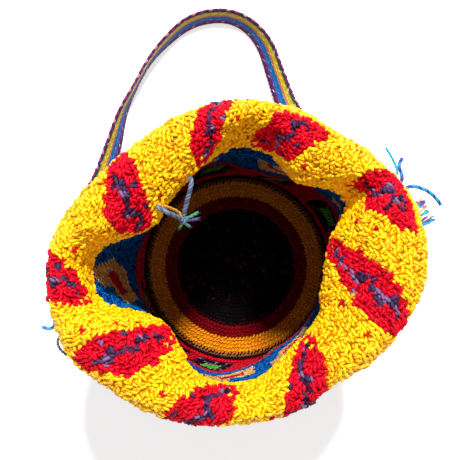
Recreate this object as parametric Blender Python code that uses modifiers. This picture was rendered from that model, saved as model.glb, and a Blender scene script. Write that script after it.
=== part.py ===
"""Crocheted mochila bag standing open, with its rim rolled outwards, a woven shoulder strap
that lies on the floor behind it, and a short yarn tie inside the mouth.

Metres, +Z up. The origin is the middle of the underside of the base, and +Y is the side
where the strap lies. Angles are in degrees from +X, seen from above, anticlockwise.
"""
import math

import bmesh
import bpy
import numpy as np
from mathutils import Matrix, Vector

# Crocheted body: the reference surface is the inside of the fabric
WALL = 0.004                # thickness of the crocheted fabric
BASE_FLAT_RADIUS = 0.089    # where the flat base starts to turn up
BASE_RADIUS = 0.095         # inside of the wall just above the base
CORNER_RISE = 0.008         # height over which the base turns into the wall
FOLD_HEIGHT = 0.220         # where the leaning wall turns back and flares out
FOLD_RADIUS = 0.085         # mean radius of the mouth there
RIM_RADIUS = 0.128          # mean radius of the rolled rim's widest line
WIDE_ROLL_RISE = 0.029      # height of the roll above the fold where it is broadest
NARROW_ROLL_RISE = 0.014    # and where the wall is pulled out against it
ROLL_RISE_PER_WIDTH = 0.3
CUFF_INSET = 0.0045         # how far the hanging cuff stays inside the rim's widest line
FABRIC_LENGTH = 0.320       # from the flat base's edge to the free edge, along the fabric
LEAN_POWER = 1.5            # the wall leans mostly in its upper part
LOW_HEIGHT = 0.050          # where the low bulges are deepest
HIGH_HEIGHT = 0.180         # and where the high ones are
HIGH_SPREAD = 0.035
CORNER_SHAPE = (0.7, 0.25)  # middle of the corner: how far out and how far up it already is
WALL_SHARES = (0.0, 0.1, 0.24, 0.42, 0.6, 0.78, 0.9)   # points up the wall, as shares of it
ROLL_SHAPE = ((0.16, 0.56), (0.45, 0.98), (0.78, 0.94), (1.0, 0.5))     # across it and up it
CUFF_SHAPE = ((0.25, 0.0), (0.8, 0.010), (1.0, 0.026), (1.0, 0.056), (1.0, 0.090))
CUFF_START = 0.2            # share of the roll's rise where the cuff's points start down
SPAN_STEPS = 10             # steps of the smooth curve between two of these points
STITCH_RELIEF = 0.0009      # how far the ridges of the rows stand proud
BODY_COLUMNS = 72
BASE_RINGS = 3
WALL_ROWS = 21
RIM_ROWS = 19
RIM_START = 0.205           # length along the fabric where the closer rows start

# Gathers of the mouth and of the rim: angle, and metres outside the mean radius
FOLD_WAVE = [
    (0, -0.017), (12, -0.013), (18, -0.008), (22, 0.001), (26, 0.015), (30, 0.027), (36, 0.021),
    (43, 0.005), (56, -0.005), (66, 0.003), (75, 0.017), (84, 0.023), (92, 0.016), (105, 0.000),
    (120, -0.009), (139, -0.014), (149, -0.016), (158, -0.009), (165, 0.004), (171, 0.022),
    (180, 0.032), (191, 0.030), (197, 0.020), (203, 0.003), (209, -0.009), (222, -0.016),
    (236, -0.010), (248, 0.000), (262, 0.004), (276, 0.004), (291, -0.003), (308, -0.010),
    (330, -0.011), (346, -0.017),
]
RIM_WAVE = [
    (0, 0.013), (12, 0.013), (26, 0.010), (40, 0.003), (55, -0.003), (70, -0.002), (88, -0.003),
    (106, -0.007), (128, -0.010), (142, -0.007), (157, 0.000), (176, 0.012), (188, 0.013),
    (208, 0.011), (222, 0.002), (239, -0.004), (255, -0.008), (276, -0.013), (296, -0.013),
    (309, -0.016), (321, -0.009), (342, 0.003),
]

# Bulges and dents of the wall, low down and just below the fold: angle, and metres outward
LOW_WAVE = [
    (0, 0.002), (12, 0.010), (29, 0.013), (45, 0.012), (60, 0.005), (74, -0.003), (84, -0.003),
    (97, 0.006), (110, 0.007), (130, 0.003), (150, 0.000), (180, -0.004), (210, 0.000),
    (240, 0.006), (256, 0.008), (272, 0.002), (285, -0.003), (298, -0.007), (314, -0.007),
    (330, -0.008), (345, -0.009), (353, -0.004),
]
HIGH_WAVE = [
    (0, 0.000), (16, 0.000), (24, -0.006), (30, -0.012), (37, -0.008), (44, 0.001), (58, 0.000),
    (66, -0.003), (76, -0.009), (84, -0.013), (92, -0.008), (102, -0.003), (115, 0.000),
    (345, 0.000),
]

# Woven strap
STRAP_WIDTH = 0.022
STRAP_THICKNESS = 0.003
STRAP_RIB = 0.0003          # lengthwise ribs of the weave
STRAP_COLUMNS = 9
STRAP_STATIONS = 68         # along the plain band
END_STATIONS = 8            # closer ones where the band bends round the right seam
END_LENGTH = 0.032
CLEARANCE = 0.0003          # gap between pieces that touch
RIGHT_SEAM_ANGLE = 15.5     # where the strap's ends are sewn to the free edge
LEFT_SEAM_ANGLE = 190.0
STRAP_DROP = 0.035          # straight hanging stretch below each seam
LEFT_BELLY = 0.006          # how far the strap stands out below that
STRAP_SAG = 0.015           # and how far it sags below a straight line to the floor
ROUTE_STEPS = 1200          # steps of the smooth curve that a strap or a yarn follows
FRINGE_STATIONS = 4         # unwoven ends that stick out past the right seam
FRINGE_REACH = 0.014
FRINGE_BEND = 0.006
FRINGE_DROOP = 0.004

# The strap on the floor from its left end to its right end: x, y, how far it leans on its
# edge, in degrees, with the outer edge of the loop up, and how high its middle is lifted
STRAP_ON_FLOOR = [
    (-0.146, 0.060, 28, 0.022), (-0.134, 0.092, 50, 0.012), (-0.125, 0.122, 62, 0.010),
    (-0.115, 0.157, 80, 0.011), (-0.104, 0.181, 89, 0.011), (-0.088, 0.210, 89, 0.011),
    (-0.070, 0.231, 80, 0.011), (-0.051, 0.247, 72, 0.010), (-0.030, 0.255, 69, 0.010),
    (-0.006, 0.255, 67, 0.009), (0.014, 0.245, 60, 0.009), (0.029, 0.227, 48, 0.008),
    (0.041, 0.195, 36, 0.008), (0.054, 0.158, 24, 0.018),
]

# Yarns: radius, and route from where each leaves the fabric
TIE_RADIUS = 0.0017
TAIL_RADIUS = 0.0013
SHORT_TAIL_RADIUS = 0.0010
THIN_TAIL_RADIUS = 0.0009
YARN_STEP = 5.0             # distance between a yarn's rings, in radii
YARNS = {
    "tie_yarn_long": (TIE_RADIUS, [
        (-0.0349, 0.0675, 0.2256), (-0.0337, 0.0648, 0.2264), (-0.0342, 0.0603, 0.2246),
        (-0.0360, 0.0543, 0.2198), (-0.0382, 0.0474, 0.2138), (-0.0407, 0.0398, 0.2079),
    ]),
    "tie_yarn_short": (TIE_RADIUS, [
        (-0.0585, 0.0454, 0.2327), (-0.0558, 0.0433, 0.2345), (-0.0522, 0.0409, 0.2335),
        (-0.0493, 0.0398, 0.2272), (-0.0467, 0.0389, 0.2200), (-0.0434, 0.0377, 0.2092),
    ]),
    "lashing_tail_right_twisted": (TAIL_RADIUS, [
        (0.1243, 0.0552, 0.2115), (0.1298, 0.0600, 0.2138), (0.1344, 0.0618, 0.2140),
        (0.1400, 0.0610, 0.2128), (0.1458, 0.0594, 0.2100), (0.1512, 0.0567, 0.2062),
        (0.1560, 0.0533, 0.2022), (0.1603, 0.0490, 0.1985),
    ]),
    "lashing_tail_right_thin": (THIN_TAIL_RADIUS, [
        (0.1172, 0.0635, 0.2058), (0.1213, 0.0672, 0.2078), (0.1247, 0.0722, 0.2082),
        (0.1236, 0.0792, 0.2070), (0.1208, 0.0860, 0.2050), (0.1174, 0.0928, 0.2025),
    ]),
    "lashing_tail_right_split": (TAIL_RADIUS, [
        (0.1205, 0.0599, 0.2030), (0.1248, 0.0630, 0.2062), (0.1282, 0.0668, 0.2078),
        (0.1282, 0.0722, 0.2074), (0.1268, 0.0780, 0.2056), (0.1296, 0.0848, 0.2026),
    ]),
    "lashing_tail_left_twisted": (TAIL_RADIUS, [
        (-0.1320, -0.0355, 0.2030), (-0.1378, -0.0376, 0.2022), (-0.1412, -0.0414, 0.2000),
        (-0.1424, -0.0462, 0.1968), (-0.1466, -0.0484, 0.1935), (-0.1532, -0.0476, 0.1890),
    ]),
    "lashing_tail_left_short": (SHORT_TAIL_RADIUS, [
        (-0.1282, -0.0494, 0.2125), (-0.1340, -0.0523, 0.2108), (-0.1374, -0.0562, 0.2066),
        (-0.1381, -0.0606, 0.2022), (-0.1364, -0.0650, 0.1984), (-0.1332, -0.0688, 0.1948),
    ]),
}

# Knot of the tie, with the short ends of its yarns: routes from the knot's middle
KNOT_PLACE = (-0.0413, 0.0366, 0.2060)
KNOT_SIZE = (0.0036, 0.0030, 0.0032)
KNOT_TAIL_RADIUS = 0.0012
KNOT_TAILS = [
    [(0.0, 0.0, 0.0), (0.0040, 0.0016, -0.0002), (0.0080, 0.0036, -0.0010), (0.0114, 0.0056, -0.0030)],
    [(0.0, 0.0, 0.0), (0.0040, -0.0002, -0.0014), (0.0080, 0.0002, -0.0030), (0.0116, 0.0010, -0.0054)],
    [(0.0, 0.0, 0.0), (-0.0008, -0.0030, -0.0016), (-0.0020, -0.0050, -0.0036), (-0.0031, -0.0062, -0.0062)],
    [(0.0, 0.0, 0.0), (0.0016, -0.0026, -0.0020), (0.0032, -0.0040, -0.0042), (0.0046, -0.0046, -0.0070)],
]


def pchip(x, y, at):
    """Smooth curve through points that never swings past them."""
    step = np.diff(x)
    rise = np.diff(y) / step
    slope = np.zeros_like(y)
    before = 2 * step[1:] + step[:-1]
    after = step[1:] + 2 * step[:-1]
    same = rise[:-1] * rise[1:] > 0
    safe = np.where(same, rise[:-1], 1.0)
    safe_next = np.where(same, rise[1:], 1.0)
    slope[1:-1] = np.where(same, (before + after) / (before / safe + after / safe_next), 0.0)
    left = np.clip(np.searchsorted(x, at) - 1, 0, len(step) - 1)
    t = (at - x[left]) / step[left]
    return (
        (1 + 2 * t) * (1 - t) ** 2 * y[left]
        + t * (1 - t) ** 2 * step[left] * slope[left]
        + t * t * (3 - 2 * t) * y[left + 1]
        + t * t * (t - 1) * step[left] * slope[left + 1]
    )


def wave_radius(mean, wave, degrees):
    """Radius of a closed outline at the given angles."""
    angle = np.array([point[0] for point in wave], float)
    value = mean + np.array([point[1] for point in wave])
    angle = np.concatenate([angle - 360, angle, angle + 360])
    return pchip(angle, np.tile(value, 3), degrees)


def profile_points(degrees):
    """Control points of the fabric's section at each angle: radius and height, base to edge."""
    fold = wave_radius(FOLD_RADIUS, FOLD_WAVE, degrees)
    rim = wave_radius(RIM_RADIUS, RIM_WAVE, degrees)
    span = rim - fold
    rise = np.clip(NARROW_ROLL_RISE + ROLL_RISE_PER_WIDTH * span, 0, WIDE_ROLL_RISE)
    low_bulge = wave_radius(0.0, LOW_WAVE, degrees)
    high_bulge = wave_radius(0.0, HIGH_WAVE, degrees)
    flat = np.ones_like(fold)
    out, up = CORNER_SHAPE
    corner = BASE_FLAT_RADIUS + out * (BASE_RADIUS - BASE_FLAT_RADIUS)

    def wall(height):
        radius = BASE_RADIUS + (fold - BASE_RADIUS) * (height / FOLD_HEIGHT) ** LEAN_POWER
        low = height / LOW_HEIGHT
        high = (height - HIGH_HEIGHT) / HIGH_SPREAD
        return radius + low_bulge * low * math.exp(1 - low) + high_bulge * math.exp(-high * high)

    points = [
        (BASE_FLAT_RADIUS * flat, WALL * flat),
        (corner * flat, (WALL + up * CORNER_RISE) * flat),
    ]
    lower = WALL + CORNER_RISE
    for share in WALL_SHARES:
        height = lower + share * (FOLD_HEIGHT - lower)
        points.append((wall(height), height * flat))
    points.append((fold, FOLD_HEIGHT * flat))
    for across, up in ROLL_SHAPE:
        points.append((fold + across * span, FOLD_HEIGHT + up * rise))
    for inset, down in CUFF_SHAPE:
        points.append((rim - inset * CUFF_INSET, FOLD_HEIGHT + CUFF_START * rise - down))
    return np.array([p[0] for p in points]), np.array([p[1] for p in points])


def section(degrees, lengths):
    """Radius and height of the fabric at each length along it, for each angle."""
    radius, height = profile_points(degrees)
    rows = []
    for k in range(len(radius) - 1):
        near = [max(k - 1, 0), k, k + 1, min(k + 2, len(radius) - 1)]
        for t in np.arange(SPAN_STEPS) / SPAN_STEPS:
            weights = (
                -0.5 * t + t * t - 0.5 * t**3,
                1 - 2.5 * t * t + 1.5 * t**3,
                0.5 * t + 2 * t * t - 1.5 * t**3,
                -0.5 * t * t + 0.5 * t**3,
            )
            rows.append([sum(w * values[n] for w, n in zip(weights, near)) for values in (radius, height)])
    rows.append([radius[-1], height[-1]])
    rows = np.array(rows)
    run = np.hypot(*np.diff(rows, axis=0).transpose(1, 0, 2)).cumsum(axis=0)
    run = np.vstack([np.zeros(len(degrees)), run])
    out = np.empty((2, len(lengths), len(degrees)))
    for column in range(len(degrees)):
        for axis in range(2):
            out[axis, :, column] = np.interp(lengths, run[:, column], rows[:, axis, column])
    return out


def fabric_rings(lengths, columns):
    """Rings of points on the inside of the fabric, evenly spaced along each ring."""
    degrees = np.arange(0.0, 360.0, 1.0)
    radius, height = section(degrees, lengths)
    angle = np.radians(degrees)
    rings = []
    for r, z in zip(radius, height):
        ring = np.stack([r * np.cos(angle), r * np.sin(angle), z], axis=1)
        ring = np.vstack([ring, ring[:1]])
        run = np.concatenate([[0], np.linalg.norm(np.diff(ring, axis=0), axis=1).cumsum()])
        drift = np.mean(run[:-1] / run[-1] - degrees / 360)
        at = ((np.arange(columns) / columns + drift) % 1.0) * run[-1]
        rings.append(np.stack([np.interp(at, run, ring[:, k]) for k in range(3)], axis=1))
    return np.array(rings)


def make_material(name, color, roughness):
    material = bpy.data.materials.new(name)
    material.use_nodes = True
    shader = material.node_tree.nodes["Principled BSDF"]
    shader.inputs["Base Color"].default_value = (*color, 1.0)
    shader.inputs["Roughness"].default_value = roughness
    shader.inputs["Metallic"].default_value = 0.0
    return material


def finish(obj, collection, material):
    collection.objects.link(obj)
    obj.data.materials.append(material)
    return obj


def body_rings():
    """Rings of the wall and rim from the flat base's edge to the free edge, ridged like rows."""
    wall_rows = np.linspace(0, RIM_START, WALL_ROWS, endpoint=False)
    rim_rows = np.linspace(RIM_START, FABRIC_LENGTH, RIM_ROWS)
    rings = fabric_rings(np.concatenate([wall_rows, rim_rows]), BODY_COLUMNS)
    outward = np.zeros_like(rings)
    outward[..., :2] = rings[..., :2] / np.linalg.norm(rings[..., :2], axis=2, keepdims=True)
    rows = np.arange(len(rings))
    ridges = np.where(rows < 2, 0, rows % 2 * 2 - 1) * STITCH_RELIEF
    return rings + outward * ridges[:, None, None]


def add_body(collection, rings):
    """The crocheted base, wall and rolled rim: one piece of fabric."""
    base = []
    for ring in range(1, BASE_RINGS):
        share = ring / BASE_RINGS
        base.append(rings[0] * (share, share, 1.0))
    rings = np.concatenate([np.array(base), rings])
    vertices = [(0.0, 0.0, WALL)] + rings.reshape(-1, 3).tolist()
    faces = []
    for column in range(BODY_COLUMNS):
        after = (column + 1) % BODY_COLUMNS
        faces.append((0, 1 + column, 1 + after))
        for ring in range(len(rings) - 1):
            low = 1 + ring * BODY_COLUMNS
            high = low + BODY_COLUMNS
            faces.append((low + column, high + column, high + after, low + after))
    mesh = bpy.data.meshes.new("bag_body")
    mesh.from_pydata(vertices, [], faces)
    mesh.shade_smooth()
    body = finish(bpy.data.objects.new("bag_body", mesh), collection,
                  make_material("crocheted_cotton", (0.95, 0.66, 0.03), 0.8))
    fabric = body.modifiers.new("fabric", "SOLIDIFY")
    fabric.thickness = WALL
    fabric.offset = -1.0
    return body


def edge_point(edge, degrees):
    """Middle of the cuff's free edge at one angle."""
    angles = np.degrees(np.arctan2(edge[:, 1], edge[:, 0])) % 360
    order = np.argsort(angles)
    radius, height = (
        np.interp(degrees, angles[order], values[order], period=360)
        for values in (np.hypot(edge[:, 0], edge[:, 1]), edge[:, 2])
    )
    angle = math.radians(degrees)
    middle = radius - WALL / 2
    return Vector((middle * math.cos(angle), middle * math.sin(angle), height))


def seam(edge, degrees):
    """Where a strap end is sewn on: its place under the free edge, and out, along and down there."""
    half = math.degrees(STRAP_WIDTH / 2 / RIM_RADIUS)
    along = (edge_point(edge, degrees + half) - edge_point(edge, degrees - half)).normalized()
    place = edge_point(edge, degrees)
    out = Vector((place.x, place.y, 0)).normalized()
    out = (out - along * out.dot(along)).normalized()
    down = along.cross(out)
    return place + down * (STITCH_RELIEF + 2 * CLEARANCE), out, along, down


def strap_route(edge):
    """Centre points of the strap, with the direction across it, left end first."""
    up = Vector((0, 0, 1))
    floor = []
    flat_points = [Vector((x, y, 0)) for x, y, _, _ in STRAP_ON_FLOOR]
    for k, (x, y, lean, lift) in enumerate(STRAP_ON_FLOOR):
        ahead = flat_points[min(k + 1, len(flat_points) - 1)] - flat_points[max(k - 1, 0)]
        side = up.cross(ahead.normalized())
        tilt = math.radians(lean)
        floor.append((Vector((x, y, lift)), side * math.cos(tilt) + up * math.sin(tilt)))

    left, left_out, left_along, left_down = seam(edge, LEFT_SEAM_ANGLE)
    right, right_out, right_along, right_down = seam(edge, RIGHT_SEAM_ANGLE)
    right += right_down * (STRAP_THICKNESS / 2 + STRAP_RIB)
    left_hang = left + left_down * STRAP_DROP
    right_hang = right + right_down * STRAP_DROP
    first, first_side = floor[0]
    last, last_side = floor[-1]
    left_middle = left_hang.lerp(first, 0.5) + left_out * LEFT_BELLY - up * STRAP_SAG
    right_middle = right_hang.lerp(last, 0.5) - up * STRAP_SAG
    return [
        (left, left_along),
        (left_hang, left_along),
        (left_middle, left_along.lerp(first_side, 0.5)),
        *floor,
        (right_middle, (-right_along).lerp(last_side, 0.5)),
        (right_hang, -right_along),
        (right + right_down * FRINGE_BEND - right_out * FRINGE_BEND / 2, -right_along),
        (right + right_out * FRINGE_BEND / 2, -right_along),
        (right + right_out * FRINGE_REACH + right_down * FRINGE_DROOP, -right_along),
    ]


def smooth_route(points, count, close=0, close_length=0.0):
    """Evenly spaced points on a smooth curve through the given ones, and closer ones at its end."""
    points = np.array(points, float)
    reach = np.concatenate([[0], np.sqrt(np.linalg.norm(np.diff(points[:, :3], axis=0), axis=1)).cumsum()])
    fine = np.linspace(0, reach[-1], ROUTE_STEPS)
    slopes = np.gradient(points, reach, axis=0)
    left = np.clip(np.searchsorted(reach, fine) - 1, 0, len(reach) - 2)
    step = (reach[left + 1] - reach[left])[:, None]
    t = (fine - reach[left])[:, None] / step
    curve = (
        (1 + 2 * t) * (1 - t) ** 2 * points[left]
        + t * (1 - t) ** 2 * step * slopes[left]
        + t * t * (3 - 2 * t) * points[left + 1]
        + t * t * (t - 1) * step * slopes[left + 1]
    )
    run = np.concatenate([[0], np.linalg.norm(np.diff(curve[:, :3], axis=0), axis=1).cumsum()])
    at = np.linspace(0, run[-1] - close_length, count)
    at = np.concatenate([at, np.linspace(at[-1], run[-1], close + 1)[1:]])
    return np.stack([np.interp(at, run, curve[:, k]) for k in range(points.shape[1])], axis=1)


def add_strap(collection, edge):
    """The woven band, with its unwoven ends as a fringe past the right seam."""
    route = strap_route(edge)
    points = [(*centre, *across) for centre, across in route]
    path = smooth_route(points, STRAP_STATIONS, END_STATIONS, END_LENGTH)
    last = len(path) - 1
    vertices = []
    for station in range(last + 1):
        centre = Vector(path[station, :3])
        ahead = Vector(path[min(station + 1, last), :3])
        behind = Vector(path[max(station - 1, 0), :3])
        along = (ahead - behind).normalized()
        across = Vector(path[station, 3:])
        across = (across - along * across.dot(along)).normalized()
        face = along.cross(across)
        reach = abs(across.z) * STRAP_WIDTH / 2 + abs(face.z) * (STRAP_THICKNESS / 2 + STRAP_RIB)
        centre.z = max(centre.z, reach + CLEARANCE)
        for column in range(STRAP_COLUMNS + 1):
            share = column / STRAP_COLUMNS - 0.5
            rib = STRAP_RIB if column % 2 else -STRAP_RIB
            vertices.append(centre + across * share * STRAP_WIDTH + face * rib)
    faces = []
    row = STRAP_COLUMNS + 1
    for station in range(last):
        unwoven = station >= last - FRINGE_STATIONS
        for column in range(STRAP_COLUMNS):
            if unwoven and column % 2:
                continue
            corner = station * row + column
            faces.append((corner, corner + row, corner + row + 1, corner + 1))
    mesh = bpy.data.meshes.new("shoulder_strap")
    mesh.from_pydata(vertices, [], faces)
    strap = finish(bpy.data.objects.new("shoulder_strap", mesh), collection,
                   make_material("woven_strap_cotton", (0.10, 0.32, 0.62), 0.8))
    band = strap.modifiers.new("band", "SOLIDIFY")
    band.thickness = STRAP_THICKNESS
    band.offset = 0.0
    return strap


def add_yarn(collection, name, route, radius, material):
    """A twisted yarn as a plain round tube along a smooth route."""
    length = sum((Vector(b) - Vector(a)).length for a, b in zip(route, route[1:]))
    count = max(6, round(length / (YARN_STEP * radius)))
    data = bpy.data.curves.new(name, "CURVE")
    data.dimensions = "3D"
    data.bevel_depth = radius
    data.bevel_resolution = 2
    data.use_fill_caps = True
    spline = data.splines.new("POLY")
    spline.points.add(count - 1)
    for point, place in zip(spline.points, smooth_route(route, count)):
        point.co = (*place, 1.0)
    return finish(bpy.data.objects.new(name, data), collection, material)


def add_knot(collection, material):
    """The tie's knot, with the short ends of its yarns joined to it."""
    bpy.ops.mesh.primitive_uv_sphere_add(segments=14, ring_count=8, radius=1.0)
    knot = bpy.context.object
    knot.name = "tie_knot"
    for old in list(knot.users_collection):
        old.objects.unlink(knot)
    knot.data.transform(Matrix.Diagonal((*KNOT_SIZE, 1.0)))
    knot.location = KNOT_PLACE
    finish(knot, collection, material)
    cutters = bpy.data.collections.new("cutters")
    bpy.context.scene.collection.children.link(cutters)
    for number, tail in enumerate(KNOT_TAILS):
        route = [tuple(Vector(KNOT_PLACE) + Vector(point)) for point in tail]
        curve = add_yarn(cutters, f"knot_tail_{number}", route, KNOT_TAIL_RADIUS, material)
        graph = bpy.context.evaluated_depsgraph_get()
        mesh = bpy.data.meshes.new_from_object(curve.evaluated_get(graph))
        shape = bmesh.new()
        shape.from_mesh(mesh)
        bmesh.ops.remove_doubles(shape, verts=shape.verts, dist=0.00001)
        shape.to_mesh(mesh)
        shape.free()
        tube = bpy.data.objects.new(f"knot_tail_shape_{number}", mesh)
        cutters.objects.link(tube)
        bpy.data.objects.remove(curve)
        tube.hide_render = True
        tube.display_type = "WIRE"
        join = knot.modifiers.new(tube.name, "BOOLEAN")
        join.operation = "UNION"
        join.object = tube
    return knot


def main():
    for obj in list(bpy.data.objects):
        bpy.data.objects.remove(obj, do_unlink=True)
    collection = bpy.data.collections.new("mochila_bag")
    bpy.context.scene.collection.children.link(collection)
    rings = body_rings()
    add_body(collection, rings)
    add_strap(collection, rings[-1])
    tie = make_material("tie_yarn", (0.25, 0.34, 0.42), 0.8)
    lashing = make_material("lashing_yarn", (0.03, 0.42, 0.66), 0.8)
    for name, (radius, route) in YARNS.items():
        add_yarn(collection, name, route, radius, tie if name.startswith("tie") else lashing)
    add_knot(collection, tie)


main()
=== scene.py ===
import math

import bmesh
import bpy
import numpy as np
from mathutils import Matrix, Vector


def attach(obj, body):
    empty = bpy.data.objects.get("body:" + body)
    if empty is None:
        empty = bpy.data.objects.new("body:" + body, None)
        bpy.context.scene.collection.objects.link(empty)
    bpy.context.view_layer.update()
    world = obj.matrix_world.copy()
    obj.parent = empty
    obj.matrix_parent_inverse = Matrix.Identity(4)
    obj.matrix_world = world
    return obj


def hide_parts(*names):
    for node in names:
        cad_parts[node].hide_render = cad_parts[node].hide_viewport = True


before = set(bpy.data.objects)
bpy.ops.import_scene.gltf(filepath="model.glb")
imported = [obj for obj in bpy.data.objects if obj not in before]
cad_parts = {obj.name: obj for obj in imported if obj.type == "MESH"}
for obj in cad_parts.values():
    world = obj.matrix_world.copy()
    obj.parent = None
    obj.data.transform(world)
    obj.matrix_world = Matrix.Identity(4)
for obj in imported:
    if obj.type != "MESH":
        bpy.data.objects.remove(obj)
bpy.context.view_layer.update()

# Crocheted mochila bag seen from above into its mouth, with its woven strap on the floor
scene = bpy.context.scene
dice = np.random.default_rng(11)
print("frame loaded:", len(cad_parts), "nodes")


def seen(red, green, blue):  # a colour as a screen shows it, 0 to 255
    shares = [part / 255 for part in (red, green, blue)]
    return np.array([s / 12.92 if s <= 0.04045 else ((s + 0.055) / 1.055) ** 2.4 for s in shares])


perMetre = 1000  # millimetres


# Camera first, then the cords. It looks down the bag's axis, like the photograph
view = {
    "height": 0.85,                      # above the floor
    "aim": (-0.0061, 0.0378, 0.0),       # floor point in the middle of the frame
    "lens": 65.1, "sensor": 36.0,        # millimetres
    "near": 0.01,
}


def placeCamera():
    data = bpy.data.cameras.new("camera")
    camera = bpy.data.objects.new("camera", data)
    scene.collection.objects.link(camera)
    data.lens = view["lens"]
    data.sensor_width = view["sensor"]
    camera.location = (0, 0, view["height"])
    ahead = (Vector(view["aim"]) - camera.location).normalized()
    right = ahead.cross(Vector((0, 1, 0))).normalized()
    camera.rotation_euler = Matrix((right, right.cross(ahead), -ahead)).transposed().to_euler()
    data.clip_start = view["near"]
    scene.camera = camera


placeCamera()
print("camera placed")


# Shader maths: a socket that can be added, taken away and multiplied
class Wire:
    def __init__(self, finish, socket):
        self.finish = finish
        self.socket = socket

    def join(self, operation, first, second):
        return self.finish.node("ShaderNodeMath", {"operation": operation}, {0: first, 1: second})

    def __add__(self, other):
        return self.join("ADD", self, other)

    def __sub__(self, other):
        return self.join("SUBTRACT", self, other)

    def __rsub__(self, other):
        return self.join("SUBTRACT", other, self)

    def __mul__(self, other):
        return self.join("MULTIPLY", self, other)

    __radd__ = __add__
    __rmul__ = __mul__


class Nodes:
    def __init__(self, owner):
        owner.use_nodes = True
        self.tree = owner.node_tree

    def node(self, kind, settings, values, output=0):
        made = self.tree.nodes.new(kind)
        for key, value in settings.items():
            setattr(made, key, value)
        for key, value in values.items():
            self.feed(made.inputs[key], value)
        return Wire(self, made.outputs[output])

    def feed(self, socket, value):
        if isinstance(value, Wire):
            self.tree.links.new(value.socket, socket)
        else:
            socket.default_value = value

    def seenRays(self):  # 1 for rays that the camera sees, straight or by way of gloss and glass
        rays = self.node("ShaderNodeLightPath", {}, {}, "Is Camera Ray")
        for other in ("Is Glossy Ray", "Is Transmission Ray"):
            rays = rays.join("MAXIMUM", rays, self.node("ShaderNodeLightPath", {}, {}, other))
        return rays

    def spread(self, value, low, high):  # a value from 0 to 1 moved to another range
        return self.node("ShaderNodeMapRange", {}, {"Value": value, "To Min": low, "To Max": high})


class Finish(Nodes):
    def __init__(self, name, roughness):
        self.material = bpy.data.materials.new(name)
        super().__init__(self.material)
        self.skin = self.tree.nodes["Principled BSDF"]
        self.skin.inputs["Roughness"].default_value = roughness

    def set(self, socket, value):
        self.feed(self.skin.inputs[socket], value)

    def noise(self, place, scale, detail=2.0):
        return self.node("ShaderNodeTexNoise", {}, {"Vector": place, "Scale": scale, "Detail": detail})

    def blend(self, kind, amount, first, second):  # two colours
        return self.node("ShaderNodeMix", {"data_type": "RGBA", "blend_type": kind},
                         {0: amount, 6: first, 7: second}, 2)


yarnSurface = {
    "coatRoughness": 0.3, "sheenRoughness": 0.4, "bumpDistance": 0.0004,
    "plyHighlightGain": 0.5,                       # how much brighter a ply's top is painted as highlight, for each darker low part painted as shade
    "roughnessSpread": (-0.1, 0.15),
    "paintedGlowTint": (1.0, 0.7, 0.6, 1.0),     # warmer tint of the painted glow, which stands in for light that seeps through the fibres
}


def yarnFinish(name, look):
    finish = Finish(name, look["roughness"])
    place = finish.node("ShaderNodeTexCoord", {}, {}, "Object")
    color = finish.node("ShaderNodeAttribute", {"attribute_name": "yarnColor"}, {}, "Color")
    ply = finish.node("ShaderNodeAttribute", {"attribute_name": "ply"}, {}, "Fac")
    fibres = finish.noise(place, look["fibreScale"], 3.0)
    faded = finish.noise(place, look["patchScale"])
    shade = finish.spread(fibres, 1 - look["fibreShade"], 1 + look["fibreShade"])
    shade = shade * finish.spread(faded, 1 - look["patchShade"], 1 + look["patchShade"])
    # The ply attribute paints each ply's top lighter and its low parts darker, as painted highlight and
    # shade
    shade = shade * finish.spread(ply, 1 - look["plyPaintedShade"], 1 + look["plyPaintedShade"] * yarnSurface["plyHighlightGain"])
    grey = finish.node("ShaderNodeCombineColor", {}, {"Red": shade, "Green": shade, "Blue": shade})
    depth = finish.blend("MIX", ply, look["shadedDeep"], look["litTop"])     # painted shade deep in, painted highlight on top
    dyed = finish.blend("MULTIPLY", 1.0, finish.blend("MULTIPLY", 1.0, color, grey), depth)
    finish.set("Base Color", dyed)
    # Painted glow: the yarn emits a little of its own colour, which lightens its shaded parts
    finish.set("Emission Color", finish.blend("MULTIPLY", 1.0, dyed, yarnSurface["paintedGlowTint"]))
    finish.skin.inputs["Emission Strength"].default_value = look["paintedGlow"]
    smooth, rough = yarnSurface["roughnessSpread"]
    finish.set("Roughness", finish.spread(fibres, look["roughness"] + smooth, look["roughness"] + rough))
    height = ply * look["plyDepth"] + fibres * look["fibreDepth"]
    finish.set("Normal", finish.node("ShaderNodeBump", {}, {
        "Strength": look["bump"], "Distance": yarnSurface["bumpDistance"], "Height": height}))
    bright = finish.node("ShaderNodeRGBToBW", {}, {"Color": color})
    finish.set("Coat Weight", bright * look["shine"])      # dark yarns stay matt
    finish.skin.inputs["Coat Roughness"].default_value = yarnSurface["coatRoughness"]
    finish.skin.inputs["Specular IOR Level"].default_value = look["gloss"]
    finish.skin.inputs["Sheen Weight"].default_value = look["sheen"]
    finish.skin.inputs["Sheen Roughness"].default_value = yarnSurface["sheenRoughness"]
    return finish.material


# Yarn made with bmesh: a ring that is drawn along a path
def ringFrames(points, radii, closed):
    count = len(points)
    frames = []
    side = None
    for k, point in enumerate(points):
        ahead = points[(k + 1) % count] if closed or k < count - 1 else point
        behind = points[k - 1] if closed or k else point
        along = (ahead - behind).normalized()
        side = along.orthogonal() if side is None else side - along * side.dot(along)
        side.normalize()
        turn = Matrix((side, along.cross(side), along)).transposed().to_4x4()
        size = Matrix.Diagonal((radii[k], radii[k], 1.0, 1.0))
        frames.append(Matrix.Translation(point) @ turn @ size)
    return frames


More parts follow.
